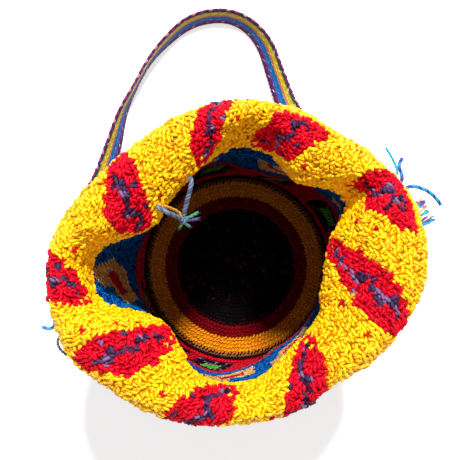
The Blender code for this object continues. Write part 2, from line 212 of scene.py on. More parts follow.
def addTube(shape, points, radii, sides, closed=False):
    ply = shape.verts.layers.float.get("ply") or shape.verts.layers.float.new("ply")
    points = [Vector(point) for point in points]
    radii = [radii] * len(points) if isinstance(radii, float) else radii
    frames = ringFrames(points, radii, closed)
    ring = bmesh.ops.create_circle(shape, radius=1.0, segments=sides, matrix=frames[0])["verts"]
    first = edges = list({edge for vert in ring for edge in vert.link_edges})
    for k, frameNow in enumerate(frames):
        if k:
            grown = bmesh.ops.extrude_edge_only(shape, edges=edges)["geom"]
            ring = [part for part in grown if isinstance(part, bmesh.types.BMVert)]
            inRing = set(ring)
            edges = [part for part in grown if isinstance(part, bmesh.types.BMEdge)
                     and inRing.issuperset(part.verts)]
            bmesh.ops.transform(shape, matrix=frameNow @ frames[k - 1].inverted(), verts=ring)
        back = frameNow.inverted()
        for vert in ring:
            local = back @ vert.co
            vert[ply] = 0.5 + 0.5 * math.cos(math.atan2(local.y, local.x) + k * plyTurn * math.tau)
    if closed:
        bmesh.ops.bridge_loops(shape, edges=first + edges)
    else:
        for loop in (first, edges):
            bmesh.ops.edgeloop_fill(shape, edges=loop)


pathSteps = 1200     # short steps in which a path is measured
plyTurn = 0.25       # of a turn, by which the light side of a yarn moves round from ring to ring


def unit(vectors):
    return vectors / np.linalg.norm(vectors, axis=-1, keepdims=True)


def runAlong(points):  # length from the first point to each
    return np.concatenate([[0], np.linalg.norm(np.diff(points, axis=0), axis=1).cumsum()])


def bridge(t, step, start, startSlope, end, endSlope):  # the curve between two points by their slopes
    return ((1 + 2 * t) * (1 - t) ** 2 * start + t * (1 - t) ** 2 * step * startSlope
            + t * t * (3 - 2 * t) * end + t * t * (t - 1) * step * endSlope)


def smoothPath(points, count):  # evenly spaced points on a smooth curve, as the solids follow
    points = np.array(points, float)
    steps = np.linalg.norm(np.diff(points[:, :3], axis=0), axis=1)
    reach = np.concatenate([[0], np.sqrt(steps).cumsum()])
    fine = np.linspace(0, reach[-1], pathSteps)
    slopes = np.gradient(points, reach, axis=0)
    left = np.clip(np.searchsorted(reach, fine) - 1, 0, len(reach) - 2)
    step = (reach[left + 1] - reach[left])[:, None]
    t = (fine - reach[left])[:, None] / step
    curve = bridge(t, step, points[left], slopes[left], points[left + 1], slopes[left + 1])
    run = runAlong(curve[:, :3])
    at = np.linspace(0, run[-1], count)
    return np.stack([np.interp(at, run, curve[:, k]) for k in range(points.shape[1])], axis=1)


def pieceFrom(shape, name, material):
    bmesh.ops.recalc_face_normals(shape, faces=shape.faces)
    mesh = bpy.data.meshes.new(name)
    shape.to_mesh(mesh)
    shape.free()
    mesh.shade_smooth()
    return standPiece(mesh, name, material)


def standPiece(mesh, name, material):
    piece = bpy.data.objects.new(name, mesh)
    scene.collection.objects.link(piece)
    mesh.materials.append(material)
    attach(piece, "root")
    return piece


# Loose yarns: the tie inside the mouth and the ends of the lashing at the strap's seams
yarnTones = {
    "greyBlue": seen(118, 142, 178), "slate": seen(84, 100, 140), "cyan": seen(24, 170, 232),
    "teal": seen(60, 150, 130), "green": seen(80, 160, 84), "purple": seen(96, 66, 150),
    "navy": seen(54, 56, 140), "cream": seen(226, 214, 186), "pink": seen(214, 96, 140),
    "straw": seen(236, 176, 44),
}
looseYarn = {
    "look": {"roughness": 0.62, "fibreScale": 2600.0, "patchScale": 120.0, "fibreShade": 0.35,
             "patchShade": 0.25, "plyPaintedShade": 0.12, "plyDepth": 0.6, "fibreDepth": 0.8, "bump": 0.55,
             "sheen": 0.1, "gloss": 0.3, "shine": 0.3, "paintedGlow": 0.04,
             "shadedDeep": (1, 1, 1, 1), "litTop": (1, 1, 1, 1)},
    "twist": 5.0,        # length of one turn of the plies, in radii of the yarn
    "ringStep": 0.0009,  # distance between rings of a ply
    "sides": 6, "lengthSteps": 200,
    "plyShare": 0.58,    # radius of a ply as a share of the yarn's
    "fuzz": 0.0003,      # how far fibres stand off the yarn
    "endShare": 0.8,     # of a ply's radius, left at its ends
    "aside": (0.3, 0.2, 1.0),  # direction from which the plies start to turn
}
fray = {             # loose fibres at a cut end
    "strands": 9, "length": 0.0035, "fullRadius": 0.0013,
    "turn": (-0.3, 0.3), "reach": (0.5, 1.0), "spread": (0.2, 0.5), "root": (0.2, 0.6),
    "radii": (0.2, 0.17, 0.06),  # shares of the yarn's radius
    "bend": 0.3, "sides": 3, "tint": 0.2,
}
yarnMaterial = yarnFinish("plied yarn", looseYarn["look"])
yarns = {  # radius, colours of the plies, what is at the far end, and the solid's route, in millimetres
    "tie_yarn_long": (1.7, ("greyBlue", "greyBlue", "slate"), "knot", [
        (-34.9, 67.5, 225.6), (-33.7, 64.8, 226.4), (-34.2, 60.3, 224.6), (-36, 54.3, 219.8),
        (-38.2, 47.4, 213.8), (-40.7, 39.8, 207.9)]),
    "tie_yarn_short": (1.7, ("greyBlue", "slate", "greyBlue"), "knot", [
        (-58.5, 45.4, 232.7), (-55.8, 43.3, 234.5), (-52.2, 40.9, 233.5), (-49.3, 39.8, 227.2),
        (-46.7, 38.9, 220), (-43.4, 37.7, 209.2)]),
    "lashing_tail_right_twisted": (1.3, ("cyan", "navy", "cyan"), "bare", [
        (124.3, 55.2, 211.5), (129.8, 60, 213.8), (134.4, 61.8, 214), (140, 61, 212.8),
        (145.8, 59.4, 210), (151.2, 56.7, 206.2), (156, 53.3, 202.2), (160.3, 49, 198.5)]),
    "lashing_tail_right_thin": (0.9, ("cyan", "cyan"), "bare", [
        (117.2, 63.5, 205.8), (121.3, 67.2, 207.8), (124.7, 72.2, 208.2), (123.6, 79.2, 207),
        (120.8, 86, 205), (117.4, 92.8, 202.5)]),
    "lashing_tail_right_split": (1.3, ("purple", "navy", "cyan"), "bare", [
        (120.5, 59.9, 203), (124.8, 63, 206.2), (128.2, 66.8, 207.8), (128.2, 72.2, 207.4),
        (126.8, 78, 205.6), (129.6, 84.8, 202.6)]),
    "lashing_tail_left_twisted": (1.3, ("cyan", "purple", "cyan"), "bare", [
        (-132, -35.5, 203), (-137.8, -37.6, 202.2), (-141.2, -41.4, 200), (-142.4, -46.2, 196.8),
        (-146.6, -48.4, 193.5), (-153.2, -47.6, 189)]),
    "lashing_tail_left_short": (1, ("slate", "greyBlue"), "bare", [
        (-128.2, -49.4, 212.5), (-134, -52.3, 210.8), (-137.4, -56.2, 206.6), (-138.1, -60.6, 202.2),
        (-136.4, -65, 198.4), (-133.2, -68.8, 194.8)]),
}
knot = {
    "place": Vector((-0.0413, 0.0366, 0.2060)),
    "size": 0.0031,      # how far the loops of the knot reach
    "depth": 1.6, "reach": 3.4,  # of a trefoil before it is scaled to that size
    "loops": (("greyBlue", 0.0), ("slate", 1.2)),  # colour and tilt
    "tiltAxis": (0.4, 1.0, 0.3),
    "rings": 46, "tailRings": 14,
    "yarn": 0.0012,
    "tailRadius": 0.0012,
    "tails": [           # colours, and route from the knot's middle in millimetres
        (("teal", "green"), [(4, 1.6, -0.2), (8, 3.6, -1), (11.4, 5.6, -3)]),
        (("purple", "slate"), [(4, -0.2, -1.4), (8, 0.2, -3), (11.6, 1, -5.4)]),
        (("green", "teal"), [(-0.8, -3, -1.6), (-2, -5, -3.6), (-3.1, -6.2, -6.2)]),
        (("teal", "greyBlue"), [(1.6, -2.6, -2), (3.2, -4, -4.2), (4.6, -4.6, -7)]),
        (("straw", "straw"), [(-2.4, 4.8, 4), (-8, 7.8, 14), (-13.7, 9.2, 25)]),
    ],
}


def paintSince(shape, start, tone, jitter=0.08):  # colours what was added after vertex number start
    layers = shape.verts.layers.float_color
    layer = layers.get("yarnColor") or layers.new("yarnColor")
    shape.verts.ensure_lookup_table()
    color = np.clip(yarnTones[tone] * (1 + dice.uniform(-jitter, jitter)), 0, 1)
    for vert in shape.verts[start:]:
        vert[layer] = (*color, 1.0)


def addPlies(shape, path, radius, tones, frayed=True):
    count = len(path)
    tangents = unit(np.gradient(path, axis=0))
    side = np.cross(tangents[0], looseYarn["aside"])
    sides = []
    for tangent in tangents:  # carried along the path without turning
        side = unit(side - tangent * side.dot(tangent))
        sides.append(side)
    sides = np.array(sides)
    ups = np.cross(tangents, sides)
    run = runAlong(path)
    radius += looseYarn["fuzz"]
    share = looseYarn["plyShare"]
    for number, tone in enumerate(tones):
        turn = run / (looseYarn["twist"] * radius) * math.tau + number / len(tones) * math.tau
        offset = radius * (1 - share)
        center = path + offset * (np.cos(turn)[:, None] * sides + np.sin(turn)[:, None] * ups)
        start = len(shape.verts)
        radii = [radius * share] * count
        radii[0] *= looseYarn["endShare"]
        radii[-1] *= looseYarn["endShare"]
        addTube(shape, center, radii, looseYarn["sides"])
        paintSince(shape, start, tone)
    if not frayed:
        return
    for strand in range(fray["strands"]):
        turn = strand / fray["strands"] * math.tau + dice.uniform(*fray["turn"])
        out = math.cos(turn) * sides[-1] + math.sin(turn) * ups[-1]
        reach = fray["length"] * dice.uniform(*fray["reach"]) * radius / fray["fullRadius"]
        spread = dice.uniform(*fray["spread"])
        root = path[-1] + out * radius * dice.uniform(*fray["root"]) - tangents[-1] * radius
        points = [root, root + tangents[-1] * reach * 0.5 + out * reach * spread * fray["bend"],
                  root + tangents[-1] * reach + out * reach * spread]
        start = len(shape.verts)
        addTube(shape, points, [radius * size for size in fray["radii"]], fray["sides"])
        paintSince(shape, start, tones[strand % len(tones)], fray["tint"])


def makeYarn(name, radius, tones, farEnd, route):
    route = np.array(route) / perMetre
    length = runAlong(smoothPath(route, looseYarn["lengthSteps"]))[-1]
    path = smoothPath(route, round(length / looseYarn["ringStep"]))
    shape = bmesh.new()
    addPlies(shape, path, radius, tones, farEnd == "bare")
    slot = "tie_yarn" if farEnd == "knot" else "lashing_yarn"
    yarn = pieceFrom(shape, f"{name}_plied", yarnMaterial)
    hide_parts(name)
    return yarn, path, length


def makeKnot():
    shape = bmesh.new()
    place, size = knot["place"], knot["size"]
    turns = np.linspace(0, math.tau, knot["rings"], endpoint=False)
    for tone, tilt in knot["loops"]:  # two interlocked trefoils
        loop = []
        for turn in turns:
            point = Vector((math.sin(turn) + 2 * math.sin(2 * turn),
                            math.cos(turn) - 2 * math.cos(2 * turn),
                            -knot["depth"] * math.sin(3 * turn))) * (size / knot["reach"])
            loop.append(place + Matrix.Rotation(tilt, 3, knot["tiltAxis"]) @ point)
        start = len(shape.verts)
        addTube(shape, loop, knot["yarn"], looseYarn["sides"], closed=True)
        paintSince(shape, start, tone)
    for tones, tail in knot["tails"]:
        route = [tuple(place + Vector(point) / perMetre) for point in [(0, 0, 0), *tail]]
        addPlies(shape, smoothPath(route, knot["tailRings"]), knot["tailRadius"], tones)
    piece = pieceFrom(shape, "tie_knot_loops", yarnMaterial)
    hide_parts("tie_knot")
    return piece


knotPiece = makeKnot()
for name, (radius, tones, farEnd, route) in yarns.items():
    radius /= perMetre
    yarn, path, length = makeYarn(name, radius, tones, farEnd, route)
print("cords made:", len(yarns))


# The crocheted fabric's surface, worked out with the same sizes as its solid
fabric = {
    "wall": 0.004, "flatRadius": 0.089, "baseRadius": 0.095, "cornerRise": 0.008,
    "foldHeight": 0.220, "foldRadius": 0.085, "rimRadius": 0.128,
    "wideRise": 0.029, "narrowRise": 0.014, "risePerWidth": 0.3, "cuffInset": 0.0045,
    "length": 0.320, "leanPower": 1.5,
    "lowHeight": 0.050, "highHeight": 0.180, "highSpread": 0.035,
    "corner": (0.7, 0.25),
    "wallShares": (0.0, 0.1, 0.24, 0.42, 0.6, 0.78, 0.9),
    "roll": ((0.16, 0.56), (0.45, 0.98), (0.78, 0.94), (1.0, 0.5)),
    "cuff": ((0.25, 0.0), (0.8, 0.010), (1.0, 0.026), (1.0, 0.056), (1.0, 0.090)),
    "cuffStart": 0.2, "spanSteps": 10,
    "foldWave": [  # gathers of the mouth: angle, and millimetres outside the mean radius
        (0, -17), (12, -13), (18, -8), (22, 1), (26, 15), (30, 27), (36, 21), (43, 5), (56, -5),
        (66, 3), (75, 17), (84, 23), (92, 16), (105, 0), (120, -9), (139, -14), (149, -16), (158, -9),
        (165, 4), (171, 22), (180, 32), (191, 30), (197, 20), (203, 3), (209, -9), (222, -16),
        (236, -10), (248, 0), (262, 4), (276, 4), (291, -3), (308, -10), (330, -11), (346, -17)],
    "lowWave": [  # bulges and dents of the wall, low down and just below the fold
        (0, 2), (12, 10), (29, 13), (45, 12), (60, 5), (74, -3), (84, -3), (97, 6), (110, 7), (130, 3),
        (150, 0), (180, -4), (210, 0), (240, 6), (256, 8), (272, 2), (285, -3), (298, -7), (314, -7),
        (330, -8), (345, -9), (353, -4)],
    "highWave": [
        (0, 0), (16, 0), (24, -6), (30, -12), (37, -8), (44, 1), (58, 0), (66, -3), (76, -9),
        (84, -13), (92, -8), (102, -3), (115, 0), (345, 0)],
    "rimWave": [
        (0, 13), (12, 13), (26, 10), (40, 3), (55, -3), (70, -2), (88, -3), (106, -7), (128, -10),
        (142, -7), (157, 0), (176, 12), (188, 13), (208, 11), (222, 2), (239, -4), (255, -8),
        (276, -13), (296, -13), (309, -16), (321, -9), (342, 3)],
    "gridStep": 0.00125, "gridColumns": 720,
}


def gentleCurve(x, y, at):  # a curve through points that never swings past them
    step = np.diff(x)
    rise = np.diff(y) / step
    slope = np.zeros_like(y)
    before = 2 * step[1:] + step[:-1]
    after = step[1:] + 2 * step[:-1]
    same = rise[:-1] * rise[1:] > 0
    safe = np.where(same, rise[:-1], 1.0)
    safeNext = np.where(same, rise[1:], 1.0)
    slope[1:-1] = np.where(same, (before + after) / (before / safe + after / safeNext), 0.0)
    left = np.clip(np.searchsorted(x, at) - 1, 0, len(step) - 1)
    t = (at - x[left]) / step[left]
    return bridge(t, step[left], y[left], slope[left], y[left + 1], slope[left + 1])


def waveRadius(mean, wave, degrees):
    angle = np.array([point[0] for point in wave], float)
    value = mean + np.array([point[1] for point in wave]) / perMetre
    return gentleCurve(np.concatenate([angle - 360, angle, angle + 360]), np.tile(value, 3), degrees)


def sectionPoints(degrees):  # radius and height of the section's control points, base to free edge
    f = fabric
    fold = waveRadius(f["foldRadius"], f["foldWave"], degrees)
    rim = waveRadius(f["rimRadius"], f["rimWave"], degrees)
    span = rim - fold
    rise = np.clip(f["narrowRise"] + f["risePerWidth"] * span, 0, f["wideRise"])
    lowBulge = waveRadius(0.0, f["lowWave"], degrees)
    highBulge = waveRadius(0.0, f["highWave"], degrees)
    flat = np.ones_like(fold)
    out, up = f["corner"]
    corner = f["flatRadius"] + out * (f["baseRadius"] - f["flatRadius"])
    points = [(f["flatRadius"] * flat, f["wall"] * flat),
              (corner * flat, (f["wall"] + up * f["cornerRise"]) * flat)]
    lower = f["wall"] + f["cornerRise"]
    for share in f["wallShares"]:
        height = lower + share * (f["foldHeight"] - lower)
        lean = (fold - f["baseRadius"]) * (height / f["foldHeight"]) ** f["leanPower"]
        low = height / f["lowHeight"]
        high = (height - f["highHeight"]) / f["highSpread"]
        bulge = lowBulge * low * math.exp(1 - low) + highBulge * math.exp(-high * high)
        points.append((f["baseRadius"] + lean + bulge, height * flat))
    points.append((fold, f["foldHeight"] * flat))
    points += [(fold + across * span, f["foldHeight"] + up * rise) for across, up in f["roll"]]
    points += [(rim - inset * f["cuffInset"], f["foldHeight"] + f["cuffStart"] * rise - down)
               for inset, down in f["cuff"]]
    return np.array([p[0] for p in points]), np.array([p[1] for p in points])


def fabricRings(lengths, columns):  # rings of points on the fabric's inside, evenly spaced on each
    degrees = np.arange(0.0, 360.0, 1.0)
    radius, height = sectionPoints(degrees)
    rows = []
    for k in range(len(radius) - 1):
        near = [max(k - 1, 0), k, k + 1, min(k + 2, len(radius) - 1)]
        for t in np.arange(fabric["spanSteps"]) / fabric["spanSteps"]:
            # a cubic curve through the points
            weights = (-0.5 * t + t * t - 0.5 * t**3, 1 - 2.5 * t * t + 1.5 * t**3,
                       0.5 * t + 2 * t * t - 1.5 * t**3, -0.5 * t * t + 0.5 * t**3)
            rows.append([sum(w * v[n] for w, n in zip(weights, near)) for v in (radius, height)])
    rows.append([radius[-1], height[-1]])
    rows = np.array(rows)
    run = np.hypot(*np.diff(rows, axis=0).transpose(1, 0, 2)).cumsum(axis=0)
    run = np.vstack([np.zeros(len(degrees)), run])
    out = np.empty((2, len(lengths), len(degrees)))
    for column in range(len(degrees)):
        for axis in range(2):
            out[axis, :, column] = np.interp(lengths, run[:, column], rows[:, axis, column])
    angle = np.radians(degrees)
    rings = []
    for r, z in zip(*out):
        ring = np.stack([r * np.cos(angle), r * np.sin(angle), z], axis=1)
        ring = np.vstack([ring, ring[:1]])
        run = runAlong(ring)
        drift = np.mean(run[:-1] / run[-1] - degrees / 360)
        at = ((np.arange(columns) / columns + drift) % 1.0) * run[-1]
        rings.append(np.stack([np.interp(at, run, ring[:, k]) for k in range(3)], axis=1))
    return np.array(rings)


gridLengths = np.arange(0, fabric["length"] + fabric["gridStep"] / 2, fabric["gridStep"])
placeGrid = fabricRings(gridLengths, fabric["gridColumns"])
roundGrid = (np.roll(placeGrid, -1, axis=1) - np.roll(placeGrid, 1, axis=1)) * fabric["gridColumns"] / 2
upGrid = np.gradient(placeGrid, fabric["gridStep"], axis=0)
print("fabric surface worked out")


def onGrid(grid, turn, length):  # value at a share of a turn and a length along the fabric
    row = np.clip(length / fabric["gridStep"], 0, grid.shape[0] - 1.001)  # so that one more row follows
    column = (turn % 1.0) * grid.shape[1]
    low = row.astype(int)
    left = np.floor(column).astype(int) % grid.shape[1]
    right = (left + 1) % grid.shape[1]
    up = (row - low)[:, None]
    over = (column - np.floor(column))[:, None]
    return ((grid[low, left] * (1 - over) + grid[low, right] * over) * (1 - up)
            + (grid[low + 1, left] * (1 - over) + grid[low + 1, right] * over) * up)


# Yarn colours of the crochet
crochetTones = {
    "yellow": seen(255, 198, 0), "red": seen(210, 8, 34), "maroon": seen(124, 2, 16),
    "purple": seen(72, 48, 80), "lilacHighlight": seen(122, 92, 128), "blue": seen(0, 108, 186),
    "navy": seen(2, 56, 128), "tan": seen(232, 176, 84), "white": seen(236, 228, 204),
    "green": seen(96, 176, 70), "black": seen(13, 7, 12), "gold": seen(244, 164, 0),
}
toneNames = list(crochetTones)
tonePalette = np.array(list(crochetTones.values()))
stitches = {
    "around": 180,          # stitches in each round of the wall
    "rowPitch": 0.00375,
    "rimPitch": 0.0042,     # the rim's rounds are pulled apart
    "baseWidth": 0.0035,    # of a stitch on the flat base
    "drift": -0.4,          # each round's stitches lean to one side of those below
    "rimStart": 0.195,      # length along the fabric where the yellow band starts
    "parts": 3,             # pieces of the wall, and of the rim
}
base = {
    "black": 0.0585, "maroon": 0.071, "gold": 0.0855,   # outer radius of each ring of colour
    "specks": 0.02,          # share of maroon stitches in the black
    "height": 0.0022, "stray": 0.0003, "fewest": 4,
}
wallBands = {"black": 0.004, "red": 0.0585, "blue": 0.195}  # length along the fabric where each ends
motifs = {
    "bars": (29, 66, 103, 141, 202, 228, 255.5, 297, 344),        # angles of the green bars
    "barRows": (0.0150, 0.0330), "frameRows": (0.0070, 0.0410), "barHalf": 2.9, "frameHalf": 5.8,
    "figures": (26, 66, 106, 146, 186, 226, 266, 304, 346),       # slanted figures on the blue
    "figureMiddle": 0.135,
    "figure": [(2.8, 0.194), (-5.6, 0.140), (-4.8, 0.126), (-6.8, 0.104), (-0.6, 0.074), (7.4, 0.137),
               (4.0, 0.142), (2.6, 0.145), (4.6, 0.168), (5.0, 0.190)],
    "heart": [(0.1, 0.157), (-2.6, 0.132), (0.4, 0.106), (2.8, 0.125), (1.8, 0.140)],
    "diamonds": [(27, 0.228), (66, 0.201), (99, 0.220), (149, 0.217), (183, 0.220), (217, 0.224),
                 (257, 0.2225), (300, 0.2225), (354, 0.226)],    # angle, and length where it starts
    "diamondRows": 21,
    "diamondWidth": [(0, 4), (3, 7.2), (8, 9.4), (14, 8.6), (17, 6), (20, 3.6)],
    "diamondShift": [(0, 0.8), (11, 0.0), (21, -1.0)],
    "zigzag": [(2.5, 1.2), (4, 0.2), (6, -1.0), (9, 1.0), (12, -1.0), (15, 0.4), (18, -0.8)],
    "zigzagWidth": 0.85,
    "strayPurple": [(7, -3), (12, -3)],
    "strayYellow": [(1, 2), (3, 3)],
    "dots": [(5, -7), (11, -7)],
    "zigzagRows": (2, 17),
    "navyShare": 0.3, "purpleShare": 0.45, "whiteShare": 0.16,    # of the blue, the frames, the figures
}


def listed(points, at):
    points = np.array(points, float)
    return np.interp(at, points[:, 0], points[:, 1])


def columnsOf(angles, length):  # stitch columns that pass an angle at a length along the fabric
    row = int(round(length / fabric["gridStep"]))
    ring = placeGrid[row]
    ringAngle = np.degrees(np.arctan2(ring[:, 1], ring[:, 0])) % 360
    nearest = np.array([np.argmin(np.abs((ringAngle - angle + 180) % 360 - 180)) for angle in angles])
    turn = nearest / len(ring)
    return turn * stitches["around"] - stitches["drift"] * length / stitches["rowPitch"]


def nearestMotif(column, centers):  # signed stitches to the nearest motif, anticlockwise positive
    around = stitches["around"]
    gaps = (column[:, None] - centers[None, :] + around / 2) % around - around / 2
    best = np.argmin(np.abs(gaps), axis=1)
    return gaps[np.arange(len(column)), best], best


def within(x, y, outline):  # which points lie inside a closed outline
    inside = np.zeros(len(x), bool)
    for (x0, y0), (x1, y1) in zip(outline, outline[1:] + outline[:1]):
        crosses = (y0 > y) != (y1 > y)
        inside ^= crosses & (x < x0 + (y - y0) * (x1 - x0) / (y1 - y0))
    return inside


def toneOf(name):
    return toneNames.index(name)


def wallTone(column, length):
    tone = np.full(len(column), toneOf("yellow"))
    tone[length < wallBands["blue"]] = toneOf("blue")
    mottled = (length < wallBands["blue"]) & (dice.random(len(column)) < motifs["navyShare"])
    tone[mottled] = toneOf("navy")
    tone[length < wallBands["red"]] = toneOf("red")
    tone[length < wallBands["black"]] = toneOf("black")

    low, high = motifs["frameRows"]
    gap, _ = nearestMotif(column, columnsOf(motifs["bars"], (low + high) / 2))
    framed = (length > low) & (length < high) & (np.abs(gap) < motifs["frameHalf"])
    tone[framed] = toneOf("black")
    tone[framed & (dice.random(len(column)) < motifs["purpleShare"])] = toneOf("purple")
    low, high = motifs["barRows"]
    tone[(length > low) & (length < high) & (np.abs(gap) < motifs["barHalf"])] = toneOf("green")

    gap, _ = nearestMotif(column, columnsOf(motifs["figures"], motifs["figureMiddle"]))
    figure = within(gap, length, motifs["figure"])
    tone[figure] = toneOf("tan")
    tone[figure & (dice.random(len(column)) < motifs["whiteShare"])] = toneOf("white")
    tone[within(gap, length, motifs["heart"])] = toneOf("red")

    angles, starts = np.array(motifs["diamonds"], float).T
    middle = starts.mean() + motifs["diamondRows"] / 2 * stitches["rowPitch"]
    gap, nearest = nearestMotif(column, columnsOf(angles, middle))
    row = (length - starts[nearest]) / stitches["rowPitch"]
    inRows = (row > -0.5) & (row < motifs["diamondRows"] - 0.5)
    offset = gap - listed(motifs["diamondShift"], row)
    half = listed(motifs["diamondWidth"], row) / 2
    tone[inRows & (np.abs(offset) < half)] = toneOf("red")
    first, last = motifs["zigzagRows"]
    zig = np.abs(gap - listed(motifs["zigzag"], row)) < motifs["zigzagWidth"]
    tone[(row > first) & (row < last) & zig] = toneOf("purple")
    for kind, spots in (("purple", "strayPurple"), ("yellow", "strayYellow"), ("red", "dots")):
        for spotRow, spotColumn in motifs[spots]:
            hit = (np.abs(row - spotRow) < 0.5) & (np.abs(gap - spotColumn) < 0.5)
            tone[hit] = toneOf(kind)
    return tone


def baseTone(radius):
    tone = np.full(len(radius), toneOf("black"))
    tone[(radius > base["black"]) & (radius < base["maroon"])] = toneOf("maroon")
    tone[(radius > base["maroon"]) & (radius < base["gold"])] = toneOf("gold")
    specks = (radius < base["black"]) & (dice.random(len(radius)) < base["specks"])
    tone[specks] = toneOf("maroon")
    return tone


# Yarns of a stitch. The rim's stitch shows a slanted stroke with a short one beside it, and a V on the
# outside. Each other stitch is a loop around the fabric
stitchYarn = {  # radius and sides of the yarn, whether it closes, and its route, in millimetres
    "stroke": (1.3, 5, False, [(-2.3, -1.8, 0), (-0.9, -0.5, 1.7), (0.9, 0.9, 1.9), (2.4, 2.2, 0.1)]),
    "besides": (1.1, 4, False, [(0, -2.7, 0.3), (1.3, -1.6, 1.6), (2.7, -0.3, 0.4)]),
    "outside": (1.1, 3, False, [(-1.6, 2, -1.2), (0, 0, -2), (1.6, 2, -1.2)]),
    "loop": (0.98, 3, True, [(-2.1, -0.4, 0.6), (-1, 1.4, 1.8), (0.8, 2.3, 2), (2.2, 1.2, 0.8),
        (0.7, 2.2, -2), (-1.2, 2.4, -1.8)]),
    "flatLoop": (0.85, 3, True, [(-1.9, -0.4, 0.2), (-0.9, 1.3, 1.1), (0.7, 2, 1.2), (1.9, 1, 0.3),
        (0.6, 1.8, -0.8), (-1, 2, -0.8)]),
}
stitchForm = {
    "endShare": 0.7,                   # of the radius, left at the ends of a stroke
    "paintedDark": -0.0003, "paintedLightRise": 0.003,   # height at which the yarn's painted shade is darkest, and the rise to its painted highlight
    "plyShare": 0.4, "paintedHeightShare": 0.6,
}


def stitchShape(names):
    shape = bmesh.new()
    for name in names:
        radius, sides, closed, route = stitchYarn[name]
        radii = np.full(len(route), radius / perMetre)
        if not closed:
            radii[[0, -1]] *= stitchForm["endShare"]
        addTube(shape, np.array(route) / perMetre, list(radii), sides, closed)
    bmesh.ops.recalc_face_normals(shape, faces=shape.faces)
    bmesh.ops.triangulate(shape, faces=[face for face in shape.faces if len(face.verts) > 4])
    shape.verts.index_update()
    ply = shape.verts.layers.float["ply"]
    points = np.array([vert.co for vert in shape.verts])
    # Height above the fabric goes into ply, so the stitch's deep parts are painted as shade and its top as
    # highlight
    height = np.clip((points[:, 2] - stitchForm["paintedDark"]) / stitchForm["paintedLightRise"], 0, 1)
    plies = np.array([vert[ply] for vert in shape.verts])
    plies = stitchForm["plyShare"] * plies + stitchForm["paintedHeightShare"] * height
    faces = [[vert.index for vert in face.verts] for face in shape.faces]
    shape.free()
    return points, plies, faces


lays = {  # how stitches lie: usual width, slant, looseness, and share with a quarter turn
    "base": (0.0040, 0.3, 0.16, 0.0),
    "wall": (0.0042, 0.1, 0.14, 0.0),
    "rim": (0.0043, 0.1, 0.4, 0.35),
}
scatter = {"size": 0.25, "leastSize": 0.02, "lift": 0.001, "place": 0.0013}  # for a looseness of 1


def tileStitches(name, stitch, rows, colors, lay):  # rows of places, across, up, and widths
    points, plies, faces = stitch
    places, acrosses, ups, widths = [np.concatenate(part) for part in zip(*rows)]
    nominal, slant, loose, turned = lay
    count = len(places)
    tilt = slant + dice.normal(0, loose, count) + np.where(dice.random(count) < turned, math.pi / 2, 0)
    across = acrosses * np.cos(tilt)[:, None] + ups * np.sin(tilt)[:, None]
    up = ups * np.cos(tilt)[:, None] - acrosses * np.sin(tilt)[:, None]
    normals = np.cross(across, up)
    stretch = np.sqrt(widths / nominal)[:, None, None]   # where it is pulled wide, gaps open
    size = 1 + dice.normal(0, scatter["size"] * loose + scatter["leastSize"], count)[:, None, None]
    lift = dice.normal(0, scatter["lift"] * loose, count)
    drift = dice.normal(0, scatter["place"] * loose, (2, count, 1))
    middles = places + normals * lift[:, None] + across * drift[0] + up * drift[1]
    spots = (middles[:, None, :] + size * (stretch * points[None, :, 0:1] * across[:, None, :]
             + points[None, :, 1:2] * up[:, None, :] + points[None, :, 2:3] * normals[:, None, :]))
    total = count * len(points)
    mesh = bpy.data.meshes.new(name)
    sizes = np.tile([len(face) for face in faces], count)
    corners = np.concatenate(faces)
    shift = np.repeat(np.arange(count) * len(points), len(corners))
    mesh.vertices.add(total)
    mesh.vertices.foreach_set("co", spots.ravel())
    mesh.loops.add(len(shift))
    mesh.loops.foreach_set("vertex_index", (np.tile(corners, count) + shift).astype(np.int32))
    mesh.polygons.add(len(sizes))
    starts = np.concatenate([[0], sizes.cumsum()[:-1]])
    mesh.polygons.foreach_set("loop_start", starts.astype(np.int32))
    mesh.update()
    paint = mesh.attributes.new("yarnColor", "FLOAT_COLOR", "POINT")
    each = np.concatenate([colors, np.ones((count, 1))], axis=1)
    paint.data.foreach_set("color", np.repeat(each, len(points), axis=0).ravel())
    plyLayer = mesh.attributes.new("ply", "FLOAT", "POINT")
    plyLayer.data.foreach_set("value", np.tile(plies, count))
    mesh.shade_smooth()
    print(name, "has", count, "copies and", count * sum(len(face) - 2 for face in faces), "triangles")
    return mesh


crochetLook = {"roughness": 0.6, "fibreScale": 1500.0, "patchScale": 45.0, "fibreShade": 0.25,
               "patchShade": 0.12, "plyPaintedShade": 0.25, "plyDepth": 0.8, "fibreDepth": 0.5, "bump": 0.6,
               "sheen": 0.0, "gloss": 0.04, "shine": 0.9, "paintedGlow": 0.0,
               "shadedDeep": (0.95, 0.8, 0.9, 1), "litTop": (1.05, 1.08, 1.1, 1)}
# The rim's copy has a stronger painted glow, darker painted shade deep in and a brighter painted highlight
# on top
rimLook = {"paintedGlow": 0.1, "patchScale": 30.0, "patchShade": 0.16, "shadedDeep": (0.8, 0.46, 0.6, 1),
           "litTop": (1.08, 1.18, 1.3, 1)}
crochetMaterial = yarnFinish("crocheted yarn", crochetLook)
rimMaterial = yarnFinish("crocheted rim yarn", {**crochetLook, **rimLook})


dye = {
    "shade": 0.1, "green": 0.07,             # how much stitches of one yarn differ
    "lilacHighlight": 0.2, "shadedDeep": 0.25,              # shares of the purple ones made paler, as painted highlights, and deeper, as the yarn's dark mottling and painted crevice shade
    "deepShade": 0.5,
}


def stitchColors(tone):
    colors = tonePalette[tone] * (1 + dice.normal(0, dye["shade"], (len(tone), 1)))
    colors[:, 1] *= 1 + dice.normal(0, dye["green"], len(tone))
    mixed = dice.random(len(tone))
    colors[(tone == toneOf("purple")) & (mixed < dye["lilacHighlight"])] = crochetTones["lilacHighlight"]
    colors[(tone == toneOf("purple")) & (mixed > 1 - dye["shadedDeep"])] *= dye["deepShade"]
    return np.clip(colors, 0, 1)


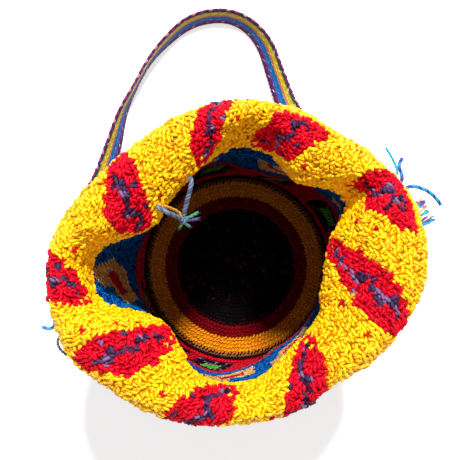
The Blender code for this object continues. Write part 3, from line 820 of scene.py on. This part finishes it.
def crochetBand(name, lengths, stitch, lay, material):
    around = stitches["around"]
    length = np.repeat(lengths, around)
    column = np.tile(np.arange(around) + 0.5, len(lengths))
    turn = (column + stitches["drift"] * length / stitches["rowPitch"]) / around
    place = onGrid(placeGrid, turn, length)
    ring = onGrid(roundGrid, turn, length)
    width = np.linalg.norm(ring, axis=1) / around
    across = -unit(ring)                                  # clockwise, seen from the fabric's inside
    up = onGrid(upGrid, turn, length)
    up = unit(up - across * np.sum(up * across, axis=1, keepdims=True))
    normal = np.cross(across, up)
    tone = wallTone(column, length)
    rows = [(place - normal * fabric["wall"] / 2, across, up, width)]
    mesh = tileStitches(name, stitch, rows, stitchColors(tone), lay)
    piece = standPiece(mesh, name, material)
    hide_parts("bag_body")


def crochetBase(name, stitch, lay):
    rows, tone = [], []
    pitch = stitches["rowPitch"]
    for ring in range(int(fabric["flatRadius"] / pitch)):
        radius = fabric["flatRadius"] - (ring + 0.5) * pitch
        count = max(base["fewest"], round(math.tau * radius / stitches["baseWidth"]))
        turn = (np.arange(count) + dice.random()) / count * math.tau
        out = np.stack([np.cos(turn), np.sin(turn), 0 * turn], axis=1)
        stray = dice.normal(0, base["stray"], (count, 1))
        across = np.stack([np.sin(turn), -np.cos(turn), 0 * turn], axis=1)
        rows.append((out * (radius + stray) + (0, 0, base["height"]), across, out,
                     np.full(count, math.tau * radius / count)))
        tone.append(baseTone(np.full(count, radius)))
    mesh = tileStitches(name, stitch, rows, stitchColors(np.concatenate(tone)), lay)
    piece = standPiece(mesh, name, crochetMaterial)
    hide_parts("bag_body")


rimStitch = stitchShape(["stroke", "besides", "outside"])
wallStitch = stitchShape(["loop"])
baseStitch = stitchShape(["flatLoop"])
crochetBase("crochet_base", baseStitch, lays["base"])
wallRows = np.arange(stitches["rowPitch"] / 2, stitches["rimStart"], stitches["rowPitch"])
rimRows = np.arange(wallRows[-1] + stitches["rimPitch"], fabric["length"], stitches["rimPitch"])
for kind, rows, stitch, material in (("wall", wallRows, wallStitch, crochetMaterial),
                                     ("rim", rimRows, rimStitch, rimMaterial)):
    for part, lengths in enumerate(np.array_split(rows, stitches["parts"])):
        crochetBand(f"crochet_{kind}_{part + 1}", lengths, stitch, lays[kind], material)
print("stitches made")


# Under the stitches: the yarns that are carried along inside them
core = {
    "depth": 0.0013, "columns": 180, "baseRings": 24,
    "hole": 0.002, "holeReach": 0.003,          # left open by the rings, then filled
    # the carried yarn is painted darker and warmer, as the shade between the stitches over it; rim spots
    # darker still are painted shade in holes
    "shade": (0.72, 0.5, 0.5), "paintedDarkShare": 0.16, "paintedDark": 0.25,
    "weld": 0.00001, "ply": 0.5,
}


def sheetOf(places, paints, ply):  # a coloured grid through rows of places
    rows, columns = places.shape[:2]
    shape = bmesh.new()
    bmesh.ops.create_grid(shape, x_segments=columns - 1, y_segments=rows - 1, size=1.0)
    color = shape.verts.layers.float_color.new("yarnColor")
    layer = shape.verts.layers.float.new("ply")
    order = sorted(shape.verts, key=lambda vert: (round(vert.co.y, 4), round(vert.co.x, 4)))
    for k, vert in enumerate(order):
        row, column = divmod(k, columns)
        vert.co = places[row, column]
        vert[color] = (*paints[row, column], 1.0)
        vert[layer] = ply
    return shape


def thicken(piece, thickness):
    wall = piece.modifiers.new("thickness", "SOLIDIFY")
    wall.thickness = thickness
    wall.offset = 0.0


def makeCore():
    columns = core["columns"]
    turns = np.arange(columns) / columns
    out = unit(onGrid(placeGrid, turns, np.zeros(columns)) * (1, 1, 0))
    rings, paints = [], []
    for radius in np.linspace(core["hole"], fabric["flatRadius"], core["baseRings"], endpoint=False):
        rings.append(out * radius + (0, 0, fabric["wall"] / 2))
        paints.append(baseTone(np.full(columns, radius)))
    for length in np.concatenate([wallRows, rimRows]):
        reach = np.full(columns, length)
        normal = unit(np.cross(onGrid(upGrid, turns, reach), onGrid(roundGrid, turns, reach)))
        rings.append(onGrid(placeGrid, turns, reach) - normal * fabric["wall"] / 2)
        column = turns * stitches["around"] - stitches["drift"] * length / stitches["rowPitch"]
        paints.append(wallTone(column % stitches["around"], reach))
    rings, paints = np.array(rings), tonePalette[np.array(paints)] * core["shade"]
    paintedDark = dice.random(paints.shape[:2]) < core["paintedDarkShare"]     # painted shade in gaps where no yarn shows
    paintedDark[:-len(rimRows)] = False
    paints[paintedDark] *= core["paintedDark"]
    rings, paints = [np.concatenate([grid, grid[:, :1]], axis=1) for grid in (rings, paints)]
    shape = sheetOf(rings, paints, core["ply"])
    bmesh.ops.remove_doubles(shape, verts=shape.verts, dist=core["weld"])
    middle = [edge for edge in shape.edges if edge.is_boundary
              and all(vert.co.xy.length < core["holeReach"] for vert in edge.verts)]
    bmesh.ops.edgeloop_fill(shape, edges=middle)
    piece = pieceFrom(shape, "crochet_carried_yarn", crochetMaterial)
    thicken(piece, core["depth"])
    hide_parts("bag_body")


makeCore()
print("core made")


# The woven strap: its route is worked out as for its solid
strap = {
    "width": 0.022, "thickness": 0.003, "rib": 0.0003, "clearance": 0.0003, "relief": 0.0009,
    "rightSeam": 15.5, "leftSeam": 190.0, "drop": 0.035, "belly": 0.006, "sag": 0.015,
    "fringeReach": 0.014, "fringeBend": 0.006, "fringeDroop": 0.004,
    "floor": [  # from the left end to the right end: x, y, lean in degrees, height of the middle
        (-0.146, 0.060, 20, 0.022), (-0.134, 0.092, 36, 0.012), (-0.125, 0.122, 52, 0.010),
        (-0.115, 0.157, 76, 0.011), (-0.104, 0.181, 89, 0.011), (-0.088, 0.210, 89, 0.011),
        (-0.070, 0.231, 80, 0.011), (-0.051, 0.247, 72, 0.010), (-0.030, 0.255, 69, 0.010),
        (-0.006, 0.255, 67, 0.009), (0.014, 0.245, 60, 0.009), (0.029, 0.227, 48, 0.008),
        (0.041, 0.195, 36, 0.008), (0.054, 0.158, 24, 0.018)],
    "edgeColumns": 72, "lengthSteps": 400,
    "floatStep": 0.0042,    # length of one float of the weave
    "floatWidth": 0.6, "floatLength": 0.72,   # half of each, as shares of a column and of the step
    "floatSides": (6, 3), "floatWaves": (3.0, 2.0), "floatSlant": 0.35, "floatLoose": 0.05, "tint": 0.1,
    "fringeStart": 0.017,   # how much of the end is unwoven
    "coreThickness": 0.0022, "coreWidth": 0.94, "corePaintedShade": 0.6,
}
strapTones = {
    "magenta": seen(158, 40, 124), "plum": seen(86, 34, 92), "white": seen(240, 230, 228),
    "blue": seen(16, 128, 214), "navy": seen(26, 66, 150), "orange": seen(236, 136, 60),
    "yellow": seen(255, 226, 56), "green": seen(40, 70, 50),
    "pink": seen(222, 130, 160), "lightBlue": seen(104, 160, 220), "olive": seen(178, 152, 44),
}
strapColumns = [  # colours mixed in each column of floats, from the outer edge of the loop inwards
    ("plum", "magenta", "plum", "pink"), ("green", "white", "plum", "green", "plum"),
    ("yellow", "olive"), ("yellow", "yellow"), ("orange", "orange"), ("blue", "navy"),
    ("blue", "lightBlue"), ("blue", "navy"), ("magenta", "plum", "white", "plum"), ("plum", "magenta"),
]


def edgePoint(edge, degrees):
    angles = np.degrees(np.arctan2(edge[:, 1], edge[:, 0])) % 360
    order = np.argsort(angles)
    radius, height = (np.interp(degrees, angles[order], values[order], period=360)
                      for values in (np.hypot(edge[:, 0], edge[:, 1]), edge[:, 2]))
    angle = math.radians(degrees)
    middle = radius - fabric["wall"] / 2
    return Vector((middle * math.cos(angle), middle * math.sin(angle), height))


def seamAt(edge, degrees):  # where a strap end is sewn on, and out, along and down there
    half = math.degrees(strap["width"] / 2 / fabric["rimRadius"])
    along = (edgePoint(edge, degrees + half) - edgePoint(edge, degrees - half)).normalized()
    place = edgePoint(edge, degrees)
    out = Vector((place.x, place.y, 0)).normalized()
    out = (out - along * out.dot(along)).normalized()
    down = along.cross(out)
    return place + down * (strap["relief"] + 2 * strap["clearance"]), out, along, down


def strapRoute():
    up = Vector((0, 0, 1))
    floor = []
    spots = [Vector((x, y, 0)) for x, y, _, _ in strap["floor"]]
    for k, (x, y, lean, lift) in enumerate(strap["floor"]):
        ahead = spots[min(k + 1, len(spots) - 1)] - spots[max(k - 1, 0)]
        side = up.cross(ahead.normalized())
        tilt = math.radians(lean)
        floor.append((Vector((x, y, lift)), side * math.cos(tilt) + up * math.sin(tilt)))
    edge = fabricRings([fabric["length"]], strap["edgeColumns"])[0]
    left, leftOut, leftAlong, leftDown = seamAt(edge, strap["leftSeam"])
    right, rightOut, rightAlong, rightDown = seamAt(edge, strap["rightSeam"])
    right += rightDown * (strap["thickness"] / 2 + strap["rib"])
    leftHang = left + leftDown * strap["drop"]
    rightHang = right + rightDown * strap["drop"]
    first, firstSide = floor[0]
    last, lastSide = floor[-1]
    leftMiddle = leftHang.lerp(first, 0.5) + leftOut * strap["belly"] - up * strap["sag"]
    rightMiddle = rightHang.lerp(last, 0.5) - up * strap["sag"]
    bend = strap["fringeBend"]
    return [
        (left, leftAlong), (leftHang, leftAlong), (leftMiddle, leftAlong.lerp(firstSide, 0.5)), *floor,
        (rightMiddle, (-rightAlong).lerp(lastSide, 0.5)), (rightHang, -rightAlong),
        (right + rightDown * bend - rightOut * bend / 2, -rightAlong),
        (right + rightOut * bend / 2, -rightAlong),
        (right + rightOut * strap["fringeReach"] + rightDown * strap["fringeDroop"], -rightAlong),
    ]


def strapFrames(step):  # centres, and directions along, across and off the face
    route = np.array([(*center, *across) for center, across in strapRoute()])
    length = runAlong(smoothPath(route, strap["lengthSteps"])[:, :3])[-1]
    path = smoothPath(route, round(length / step) + 1)
    center = path[:, :3]
    along = unit(np.gradient(center, axis=0))
    across = path[:, 3:]
    across = unit(across - along * np.sum(across * along, axis=1, keepdims=True))
    face = np.cross(along, across)
    reach = (np.abs(across[:, 2]) * strap["width"] / 2
             + np.abs(face[:, 2]) * (strap["thickness"] / 2 + strap["rib"]))
    center[:, 2] = np.maximum(center[:, 2], reach + strap["clearance"])
    return center, along, across, face


def makeStrap():
    step = strap["floatStep"] / 2
    center, along, across, face = strapFrames(step)
    woven = len(center) - round(strap["fringeStart"] / step)
    shape = bmesh.new()
    around, rings = strap["floatSides"]
    bmesh.ops.create_uvsphere(shape, u_segments=around, v_segments=rings, radius=1.0)
    size = (strap["width"] / len(strapColumns) * strap["floatWidth"],
            strap["floatStep"] * strap["floatLength"], strap["thickness"] / 2)
    upright = Matrix.Rotation(math.pi / 2, 3, "X")
    bmesh.ops.rotate(shape, cent=(0, 0, 0), matrix=upright, verts=shape.verts)
    bmesh.ops.scale(shape, vec=size, verts=shape.verts)
    shape.verts.index_update()
    points = np.array([vert.co for vert in shape.verts])
    wide, tall = strap["floatWaves"]
    plies = 0.5 + 0.5 * np.sin(points[:, 0] / size[0] * wide + points[:, 1] / size[1] * tall)
    faces = [[vert.index for vert in side.verts] for side in shape.faces]
    shape.free()
    rows, colors, slants = [], [], []
    for column, names in enumerate(strapColumns):
        shift = (0.5 - (column + 0.5) / len(strapColumns)) * strap["width"]
        stations = np.arange(1 + column % 2, woven, 2)
        rows.append((center[stations] + across[stations] * shift, across[stations], along[stations],
                     np.ones(len(stations))))
        picks = np.arange(len(stations)) % len(names)
        tint = np.array([strapTones[name] for name in names])[picks]
        shades = 1 + dice.normal(0, strap["tint"], (len(stations), 1))
        colors.append(np.clip(tint * shades, 0, 1))
        slants.append(np.full(len(stations), strap["floatSlant"] if column % 2 else -strap["floatSlant"]))
    mesh = tileStitches("strap_weave", (points, plies, faces), rows, np.concatenate(colors),
                        (1.0, np.concatenate(slants), strap["floatLoose"], 0.0))
    weave = standPiece(mesh, "strap_weave", strapMaterial)
    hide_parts("shoulder_strap")
    return center, along, across, face, woven


def makeStrapCore(center, across, woven):  # the weave between the floats, striped like them and painted darker as the shade between them
    count = len(strapColumns)
    stations = np.arange(0, woven, 2)
    shares = np.linspace(0.5, -0.5, count + 1)[:, None]
    reach = across[stations][:, None] * shares * strap["width"] * strap["coreWidth"]
    # stripes painted darker, as the shade between the floats
    stripes = [strapTones[names[0]] * strap["corePaintedShade"] for names in strapColumns + strapColumns[-1:]]
    shape = sheetOf(center[stations][:, None] + reach, np.tile(stripes, (len(stations), 1, 1)), 0.0)
    piece = pieceFrom(shape, "strap_weft", strapMaterial)
    thicken(piece, strap["coreThickness"])
    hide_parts("shoulder_strap")


fringeYarn = {
    "tones": ("cream", "pink", "cream", "purple", "teal", "cream", "purple", "cyan"), "tint": 0.15,
    "strands": 24, "root": 3,                      # half float steps from its start to the weave's end
    "spread": 0.9, "aside": -0.18, "stray": 0.06,  # shares of the strap's width at the tips
    "tip": 0.002, "longer": 0.003,
    "wave": 0.0006, "waveStep": 0.9, "waveShift": 2.1,   # the last two in radians
    "radii": [0.0012] * 13 + [0.0011, 0.0009, 0.0004], "sides": 5,
}


def makeFringe(center, along, across, face, woven):
    shape = bmesh.new()
    start = max(0, woven - fringeYarn["root"])
    stations = np.arange(start, len(center), 2)
    tip = fringeYarn["tip"]
    for strand in range(fringeYarn["strands"]):
        share = (strand + 0.5) / fringeYarn["strands"] - 0.5
        stray = dice.uniform(-fringeYarn["stray"], fringeYarn["stray"])
        spread = share * fringeYarn["spread"] + fringeYarn["aside"] + stray
        reach = dice.uniform(0.0, fringeYarn["longer"])
        path = []
        for k in stations:
            loose = (k - start) / (len(center) - 1 - start)
            shift = (share + (spread - share) * loose) * strap["width"]
            phase = k * fringeYarn["waveStep"] + strand * fringeYarn["waveShift"]
            wave = fringeYarn["wave"] * math.sin(phase) * loose
            path.append(center[k] + across[k] * (shift + wave) + face[k] * wave)
        path.append(path[-1] + along[-1] * (tip + reach) + across[-1] * spread * tip)
        path = smoothPath(path, len(fringeYarn["radii"]))
        before = len(shape.verts)
        addTube(shape, path, fringeYarn["radii"], fringeYarn["sides"])
        tone = fringeYarn["tones"][strand % len(fringeYarn["tones"])]
        paintSince(shape, before, tone, fringeYarn["tint"])
    fringe = pieceFrom(shape, "strap_fringe", yarnMaterial)
    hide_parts("shoulder_strap")


strapLook = {"fibreScale": 2400.0, "patchScale": 160.0, "fibreShade": 0.3, "patchShade": 0.2,
             "plyPaintedShade": 0.2, "fibreDepth": 0.6, "bump": 0.5, "sheen": 0.05, "gloss": 0.2, "shine": 0.4}
strapMaterial = yarnFinish("woven strap yarn", {**looseYarn["look"], **strapLook})
center, along, across, face, woven = makeStrap()
makeStrapCore(center, across, woven)
makeFringe(center, along, across, face, woven)
print("strap made")


# Light, world and floor
studio = {
    "sunFrom": (0.10, 0.62, 1.0), "sunPower": 4.6, "sunAngle": 6.0, "worldPower": 0.36,
    "floorSize": 3.0, "floorGlow": 0.55, "floorShade": 0.92, "floorRoughness": 0.9,
}


def lightStudio():
    data = bpy.data.lights.new("key", "SUN")
    data.energy = studio["sunPower"]
    data.angle = math.radians(studio["sunAngle"])
    lamp = bpy.data.objects.new("key", data)
    lamp.rotation_euler = Vector(studio["sunFrom"]).to_track_quat("Z", "Y").to_euler()
    scene.collection.objects.link(lamp)
    world = bpy.data.worlds.new("studio")
    scene.world = world
    backdrop = Nodes(world)
    power = backdrop.spread(backdrop.seenRays(), studio["worldPower"], 1.0)
    background = backdrop.tree.nodes["Background"]
    backdrop.feed(background.inputs["Strength"], power)
    background.inputs["Color"].default_value = (1, 1, 1, 1)


def makeFloor():
    shape = bmesh.new()
    bmesh.ops.create_grid(shape, x_segments=2, y_segments=2, size=studio["floorSize"] / 2)
    mesh = bpy.data.meshes.new("floor")
    shape.to_mesh(mesh)
    shape.free()
    shade = studio["floorShade"]
    finish = Finish("white floor", studio["floorRoughness"])
    finish.skin.inputs["Base Color"].default_value = (shade, shade, shade, 1)
    finish.skin.inputs["Emission Color"].default_value = (1, 1, 1, 1)
    finish.set("Emission Strength", finish.seenRays() * studio["floorGlow"])
    floor = bpy.data.objects.new("floor", mesh)
    mesh.materials.append(finish.material)
    scene.collection.objects.link(floor)


lightStudio()
makeFloor()
scene.view_settings.view_transform = "Standard"
print("light and floor made")
